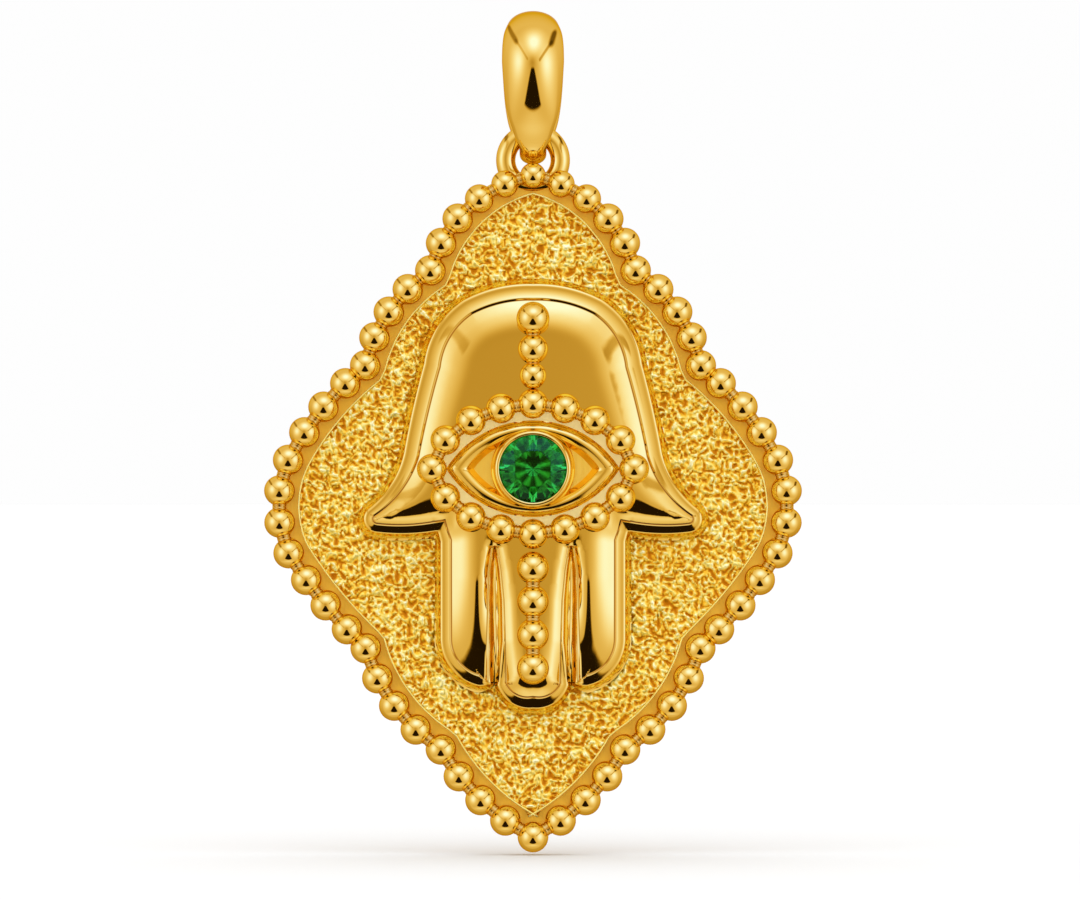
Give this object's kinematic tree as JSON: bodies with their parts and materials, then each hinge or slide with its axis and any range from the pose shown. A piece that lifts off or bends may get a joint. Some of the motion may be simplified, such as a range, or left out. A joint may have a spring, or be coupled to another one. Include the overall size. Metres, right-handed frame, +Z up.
{
  "type": "evil eye pendant",
  "caption": "Hanging gold pendant: a bead-edged lobed plate with a raised hamsa hand, a beaded eye with a round green stone, and a tapered bail on a wire ring.",
  "frame": {"origin": "inside top of the bail, the point that a chain bears on", "axes": "+Z up along the hanging pendant, the front of the hand and eye faces -Y, +X is to the viewer's right"},
  "size_m": [0.0244, 0.0063, 0.0382],
  "materials": {
    "polished_gold": "high-polish yellow gold",
    "textured_gold": "yellow gold with a bright nugget texture",
    "satin_gold": "satin yellow gold",
    "green_stone": "polished facets, deep green"
  },
  "bodies": {
    "bail": {"bail": "polished_gold"},
    "pendant": {"hanging_ring": "polished_gold", "back_plate": "satin_gold", "textured_panel": "textured_gold", "bead_border_right": "polished_gold", "bead_border_left": "polished_gold", "hamsa_hand": "polished_gold", "palm_beads": "polished_gold", "finger_beads": "polished_gold", "eye_beads": "polished_gold", "eye_frame": "polished_gold", "bezel": "polished_gold", "stone": "green_stone"}
  },
  "joints": [
    {"name": "pendant_swing", "type": "hinge", "parent": "bail", "child": "pendant", "pos_m": [0, 0, -0.00454], "axis": [1, 0, 0], "range_deg": [-45, 45]}
  ]
}
